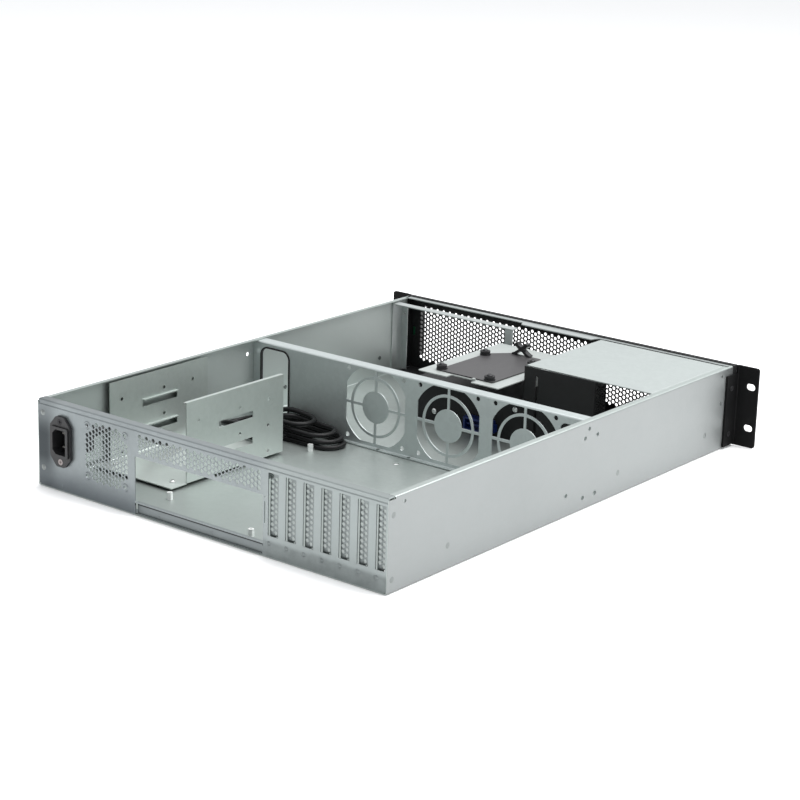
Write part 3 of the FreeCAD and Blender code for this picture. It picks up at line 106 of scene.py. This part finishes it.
class Mat:
    def __init__(self, name):
        self.m = bpy.data.materials.new(name)
        self.m.use_nodes = True
        self.t = self.m.node_tree
        self.b = self.t.nodes["Principled BSDF"]
        self.tc = self.t.nodes.new("ShaderNodeTexCoord")

    def n(self, kind, **kw):
        x = self.t.nodes.new(kind)
        for k, v in kw.items():
            setattr(x, k, v)
        return x

    def l(self, a, b):
        self.t.links.new(a, b)

    def noise(self, scale, detail=3.0, rough=0.5, stretch=None, dist=0.0):
        mp = self.n("ShaderNodeMapping")
        if stretch:
            mp.inputs["Scale"].default_value = stretch
        self.l(self.tc.outputs["Object"], mp.inputs["Vector"])
        x = self.n("ShaderNodeTexNoise")
        x.inputs["Scale"].default_value = scale
        x.inputs["Detail"].default_value = detail
        x.inputs["Roughness"].default_value = rough
        x.inputs["Distortion"].default_value = dist
        self.l(mp.outputs["Vector"], x.inputs["Vector"])
        return x.outputs["Fac"]

    def axis(self, k):
        x = self.n("ShaderNodeSeparateXYZ")
        self.l(self.tc.outputs["Object"], x.inputs[0])
        return x.outputs[k]

    def ramp(self, src, a, b, ca, cb, smooth=False):
        r = self.n("ShaderNodeMapRange")
        if smooth:
            r.interpolation_type = "SMOOTHSTEP"
        r.inputs["From Min"].default_value = a
        r.inputs["From Max"].default_value = b
        r.inputs["To Min"].default_value = ca
        r.inputs["To Max"].default_value = cb
        self.l(src, r.inputs["Value"])
        return r.outputs["Result"]

    def math(self, op, a, b):
        x = self.n("ShaderNodeMath", operation=op)
        for k, v in ((0, a), (1, b)):
            if hasattr(v, "is_output"):
                self.l(v, x.inputs[k])
            else:
                x.inputs[k].default_value = v
        return x.outputs[0]

    def mixc(self, fac, c1, c2, mode="MIX"):
        x = self.n("ShaderNodeMix", data_type="RGBA", blend_type=mode)
        for sock, c in ((6, c1), (7, c2)):
            if hasattr(c, "is_output"):
                self.l(c, x.inputs[sock])
            else:
                x.inputs[sock].default_value = (*c[:3], 1)
        if hasattr(fac, "is_output"):
            self.l(fac, x.inputs[0])
        else:
            x.inputs[0].default_value = fac
        return x.outputs[2]

    def bump(self, src, strength, dist):
        x = self.n("ShaderNodeBump")
        x.inputs["Strength"].default_value = strength
        x.inputs["Distance"].default_value = dist
        self.l(src, x.inputs["Height"])
        self.l(x.outputs["Normal"], self.b.inputs["Normal"])
        return x


def zinc(name, base, spread=0.035, rough=(0.32, 0.44), metal=0.8, grain=None, shade=None):
    """Galvanised sheet: faint crystalline patches, a fine rolling grain and light smudges."""
    a = Mat(name)
    v = a.n("ShaderNodeTexVoronoi")
    v.inputs["Scale"].default_value = 240
    mp = a.n("ShaderNodeMapping")
    a.l(a.tc.outputs["Object"], mp.inputs["Vector"])
    a.l(mp.outputs["Vector"], v.inputs["Vector"])
    cell = a.n("ShaderNodeSeparateColor")
    a.l(v.outputs["Color"], cell.inputs["Color"])
    big = a.noise(7, 4, 0.6)
    fine = a.noise(700, 2, 0.5, stretch=grain or (1, 0.06, 1))
    lo = tuple(max(0, c * (1 - spread)) for c in base)
    hi = tuple(min(1, c * (1 + spread)) for c in base)
    c1 = a.mixc(a.ramp(cell.outputs["Red"], 0, 1, 0, 1), lo, hi)
    c2 = a.mixc(a.ramp(big, 0.3, 0.7, 0.0, 0.5), c1, tuple(c * 0.86 for c in base))
    if shade:
        c2 = shade(a, c2, big)
    a.l(c2, a.b.inputs["Base Color"])
    rg = a.math("ADD", a.ramp(cell.outputs["Green"], 0, 1, rough[0], rough[0] + 0.025), a.ramp(big, 0.3, 0.7, 0.0, rough[1] - rough[0]))
    a.l(rg, a.b.inputs["Roughness"])
    a.b.inputs["Metallic"].default_value = metal
    a.bump(fine, 0.03, 0.00008)
    return a.m


def paint(name, base, rough=(0.42, 0.55), scale=1400, strength=0.35, dist=0.00012, metal=0.0, spec=0.5):
    a = Mat(name)
    g = a.noise(scale, 2, 0.5)
    w = a.noise(24, 4, 0.6)
    a.l(a.mixc(a.ramp(w, 0.35, 0.7, 0, 1), base, tuple(min(1, c * 1.25 + 0.002) for c in base)), a.b.inputs["Base Color"])
    a.l(a.ramp(w, 0.3, 0.7, rough[0], rough[1]), a.b.inputs["Roughness"])
    a.b.inputs["Metallic"].default_value = metal
    a.b.inputs["Specular IOR Level"].default_value = spec
    a.bump(g, strength, dist)
    return a.m


def plated(name, base, rough=(0.22, 0.38), metal=1.0):
    a = Mat(name)
    w = a.noise(300, 3, 0.6)
    a.l(a.mixc(a.ramp(w, 0.35, 0.65, 0, 1), tuple(c * 0.85 for c in base), base), a.b.inputs["Base Color"])
    a.l(a.ramp(w, 0.3, 0.7, rough[0], rough[1]), a.b.inputs["Roughness"])
    a.b.inputs["Metallic"].default_value = metal
    a.bump(w, 0.08, 0.0001)
    return a.m


def rear_shade(a, c, big):
    """Painted reflection and shade on the rear zinc: a smooth dark painted reflection at the foot under the vent and
    inlet, a sharper painted shade band under the slots broken up by blotches, a lighter base tone towards the slot
    side, a painted dark reflection up the inlet end of the panel, painted shade on the recessed foot strip below the
    ledge and a near-black painted shadow line over the upturned foot.
    """
    z, x = a.axis(2), a.axis(0)
    wob = a.noise(26, 4, 0.65)
    blot = a.noise(90, 3, 0.6)
    edge = a.math("ADD", z, a.ramp(wob, 0.3, 0.7, -0.0015, 0.0015))
    plus = a.ramp(x, 0.0848, 0.0850, 0.0, 1.0)
    minus = a.ramp(x, -0.0742, -0.0740, 1.0, 0.0)
    # Painted dark reflection fading up from the foot under the vent and inlet (x above 85 mm).
    painted_foot_reflection = a.math("MULTIPLY", plus, a.ramp(edge, 0.004, 0.034, 0.66, 0.0, True))
    # Painted shade band under the slots (x below -74 mm), broken up by blotches.
    painted_slot_band_shade = a.math("MULTIPLY", minus, a.ramp(edge, 0.0135, 0.0185, 0.58, 0.0, True))
    painted_slot_band_shade = a.math("MULTIPLY", painted_slot_band_shade, a.ramp(blot, 0.38, 0.62, 0.72, 1.0))
    # Painted dark reflection up the inlet end of the panel, strongest at mid height.
    end = a.math("MULTIPLY", a.ramp(x, 0.182, 0.204, 0.0, 0.97, True), a.math("MULTIPLY", a.ramp(z, 0.010, 0.034, 0.45, 1.0, True), a.ramp(z, 0.052, 0.084, 1.0, 0.35, True)))
    mid = a.math("SUBTRACT", 1.0, a.math("MAXIMUM", plus, minus))
    # Painted near-black shadow line over the upturned foot, from about 9.5 to 11.8 mm, in the I/O range.
    painted_gap_shadow = a.math("MULTIPLY", mid, a.math("MULTIPLY", a.ramp(z, 0.0092, 0.0095, 0.0, 1.0), a.ramp(z, 0.0117, 0.0119, 0.9, 0.0)))
    c = a.mixc(painted_foot_reflection, c, (0.075, 0.088, 0.100))
    c = a.mixc(a.ramp(x, -0.060, -0.090, 0.0, 1.0, True), c, (0.265, 0.293, 0.290))
    c = a.mixc(painted_slot_band_shade, c, (0.085, 0.098, 0.098))
    c = a.mixc(end, c, (0.030, 0.036, 0.040))
    # Painted shade on the recessed foot strip below the ledge, in the I/O range.
    c = a.mixc(a.math("MULTIPLY", mid, a.ramp(z, 0.0118, 0.0122, 0.45, 0.0)), c, (0.12, 0.135, 0.135))
    c = a.mixc(painted_gap_shadow, c, (0.01, 0.01, 0.01))
    return c


def tray_shade(a, c, big):
    """Painted light and shade on the tray zinc: the floor towards the rear window painted darker, the inner face of the
    +X wall painted lighter, and the outer faces of both side walls painted darker.
    """
    x, z = a.axis(0), a.axis(2)
    y = a.axis(1)
    # Painted shade: the floor towards the rear window darker.
    floor_rear_painted_shade = a.math("MULTIPLY", a.ramp(z, 0.0015, 0.0020, 1.0, 0.0), a.ramp(y, 0.14, 0.26, 0.0, 0.6, True))
    c = a.mixc(floor_rear_painted_shade, c, (0.27, 0.30, 0.288))
    # Painted light: the inner face of the +X wall lighter.
    c = a.mixc(a.ramp(x, 0.2125, 0.2135, 0.0, 1.0), c, (0.47, 0.515, 0.50))
    # Painted shade: the outer faces of both side walls darker.
    c = a.mixc(a.ramp(x, -0.2148, -0.2144, 1.0, 0.0), c, (0.232, 0.246, 0.245))
    c = a.mixc(a.ramp(x, 0.2144, 0.2148, 0.0, 1.0), c, (0.232, 0.246, 0.245))
    return c


def bracket_shade(a, c, big):
    """Lighter towards the foot."""
    z = a.axis(2)
    return a.mixc(a.ramp(z, 0.006, 0.060, 0.55, 0.0, True), c, (0.62, 0.66, 0.64))


def cover_shade(a, c, big):
    """Painted shade towards the bottom of each cover."""
    z = a.axis(2)
    return a.mixc(a.ramp(z, 0.010, 0.030, 0.45, 0.0, True), c, (0.13, 0.145, 0.14))


M = {
    "galv": zinc("galvanised_steel", (0.385, 0.425, 0.41), rough=(0.33, 0.45), shade=tray_shade),
    "panel": zinc("galvanised_rear", (0.232, 0.256, 0.262), grain=(0.06, 1, 1), shade=rear_shade),
    "rail": zinc("galvanised_rail", (0.46, 0.49, 0.485), grain=(0.06, 1, 1)),
    "wall": zinc("galvanised_wall", (0.50, 0.545, 0.54), grain=(0.06, 1, 1)),
    "bracket": zinc("galvanised_bracket", (0.44, 0.485, 0.463), rough=(0.34, 0.46), shade=bracket_shade),
    "cover": zinc("slot_cover_steel", (0.19, 0.21, 0.21), grain=(1, 1, 0.06), shade=cover_shade),
    "ledge": zinc("slot_ledge_steel", (0.32, 0.35, 0.345), grain=(0.06, 1, 1)),
    "post": plated("bright_standoff", (0.93, 0.94, 0.93), rough=(0.30, 0.42), metal=0.7),
    "pale": zinc("pale_steel", (0.335, 0.365, 0.358), rough=(0.42, 0.55), metal=0.5),
    "paler": zinc("drive_tray_steel", (0.37, 0.395, 0.385), rough=(0.42, 0.55), metal=0.5),
    # Darker, less shiny copy of the black powder coat, painted darker on the ears to offset the strong light on them.
    "ear": paint("ear_powder_coat_painted_darker", (0.0030, 0.0031, 0.0033), rough=(0.55, 0.65), spec=0.10),
    "black": paint("black_powder_coat", (0.006, 0.0062, 0.0065), rough=(0.5, 0.62), spec=0.3),
    "plastic": paint("black_plastic", (0.012, 0.012, 0.013), rough=(0.38, 0.5), scale=2200, strength=0.2, spec=0.4),
    "gloss": paint("gloss_black_plastic", (0.008, 0.008, 0.009), rough=(0.18, 0.28), scale=900, strength=0.06),
    "rubber": paint("black_rubber", (0.010, 0.010, 0.011), rough=(0.5, 0.65), scale=1800, strength=0.3, spec=0.35),
    "sheath": paint("lead_sheath", (0.0042, 0.0042, 0.0046), rough=(0.34, 0.46), scale=600, strength=0.12, spec=0.22),
    "pad": paint("insulating_sheet", (0.030, 0.029, 0.030), rough=(0.4, 0.5), scale=1500, strength=0.2),
    "blue": paint("blue_plastic", (0.004, 0.014, 0.085), rough=(0.25, 0.35), scale=900, strength=0.08),
    "green": paint("circuit_board", (0.012, 0.10, 0.045), rough=(0.25, 0.4), scale=500, strength=0.2),
    "screw": plated("zinc_screw", (0.80, 0.81, 0.80)),
    "bscrew": plated("black_screw", (0.03, 0.03, 0.032), rough=(0.3, 0.45), metal=0.4),
    "rivet": plated("rivet_steel", (0.20, 0.215, 0.212), rough=(0.3, 0.45)),
    "blade": plated("nickel_blade", (0.36, 0.35, 0.33), rough=(0.3, 0.42)),
}
dull = Mat("inlet_screw_steel")
dw = dull.noise(300, 3, 0.6)
dc = dull.mixc(dull.ramp(dw, 0.35, 0.65, 0, 1), (0.22, 0.195, 0.19), (0.28, 0.25, 0.245))
dull.l(dull.mixc(dull.ramp(dull.axis(2), 0.045, 0.055, 0.0, 1.0), dc, (0.03, 0.03, 0.032)), dull.b.inputs["Base Color"])
dull.l(dull.ramp(dw, 0.3, 0.7, 0.3, 0.45), dull.b.inputs["Roughness"])
dull.b.inputs["Metallic"].default_value = 0.9
dull.bump(dw, 0.08, 0.0001)
M["dull"] = dull.m
lens = Mat("status_lens")
lw = lens.noise(500, 2, 0.5)
lens.l(lens.mixc(lens.ramp(lw, 0.3, 0.7, 0, 1), (0.80, 0.86, 0.82), (0.88, 0.92, 0.90)), lens.b.inputs["Base Color"])
lens.b.inputs["Transmission Weight"].default_value = 0.6
lens.b.inputs["Roughness"].default_value = 0.3
M["lens"] = lens.m

ASSIGN = {
    "base_tray": "galv", "rear_panel": "panel", "slot_ledge": "ledge", "slot_screws": "screw", "inlet_body": "plastic", "inlet_blades": "blade",
    "inlet_screws": "dull", "inlet_boot": "rubber", "fan_wall": "wall", "pass_through_trim": "rubber", "drive_bracket": "bracket",
    "bracket_screws": "screw", "board_standoffs": "post", "front_panel": "black", "front_foot": "black", "front_rail": "rail", "ear_right": "ear", "ear_left": "ear",
    "ear_screws": "bscrew", "bay_cover": "pale", "bay_back": "black", "drive_cage": "black", "cage_back": "black", "cage_screws": "screw",
    "data_connector": "blue", "drive_tray": "paler", "drive_plate": "pad", "tray_grommets": "rubber",
    "tray_screws": "bscrew", "wire_saddle": "gloss", "bay_rail": "rail", "control_pod": "plastic", "power_button": "gloss", "reset_button": "gloss",
    "control_board": "green", "switch_bodies": "plastic", "status_lenses": "lens", "usb_sockets": "screw", "rivets": "rivet", "lead_coupler": "rubber"}
for i in range(1, 8):
    ASSIGN["slot_cover_%d" % i] = "cover"
for n, k in ASSIGN.items():
    if n in N:
        N[n].data.materials.clear()
        N[n].data.materials.append(M[k])
cd.materials.append(M["sheath"])

# ------------------------------------------------------------------ stage and light
mesh = bpy.data.meshes.new("floor")
s = 7.0
mesh.from_pydata([(-s, -s, -0.0005), (s, -s, -0.0005), (s, s, -0.0005), (-s, s, -0.0005)], [], [(0, 1, 2, 3)])
floor = bpy.data.objects.new("floor", mesh)
bpy.context.scene.collection.objects.link(floor)
fm = bpy.data.materials.new("floor")
fm.use_nodes = True
fb = fm.node_tree.nodes["Principled BSDF"]
fb.inputs["Base Color"].default_value = (0.97, 0.97, 0.97, 1)
fb.inputs["Roughness"].default_value = 0.8
mesh.materials.append(fm)

bpy.context.scene.view_settings.view_transform = "Standard"
w = bpy.data.worlds.new("world")
bpy.context.scene.world = w
w.use_nodes = True
bg = w.node_tree.nodes["Background"]
bg.inputs["Color"].default_value = (0.97, 0.985, 1.0, 1)
bg.inputs["Strength"].default_value = 0.9


def area(name, loc, target, size, energy, color=(1, 1, 1), sy=None):
    d = bpy.data.lights.new(name, "AREA")
    d.energy = energy
    d.color = color
    d.size = size
    if sy:
        d.shape = "RECTANGLE"
        d.size_y = sy
    o = bpy.data.objects.new(name, d)
    bpy.context.scene.collection.objects.link(o)
    o.location = loc
    o.rotation_mode = "QUATERNION"
    o.rotation_quaternion = (Vector(target) - Vector(loc)).to_track_quat("-Z", "Y")
    return o


area("top", (-0.4, -0.5, 2.2), (0, 0, 0), 2.4, 95)
area("side", (-2.4, -0.9, 1.2), (0, 0, 0), 3.0, 39)
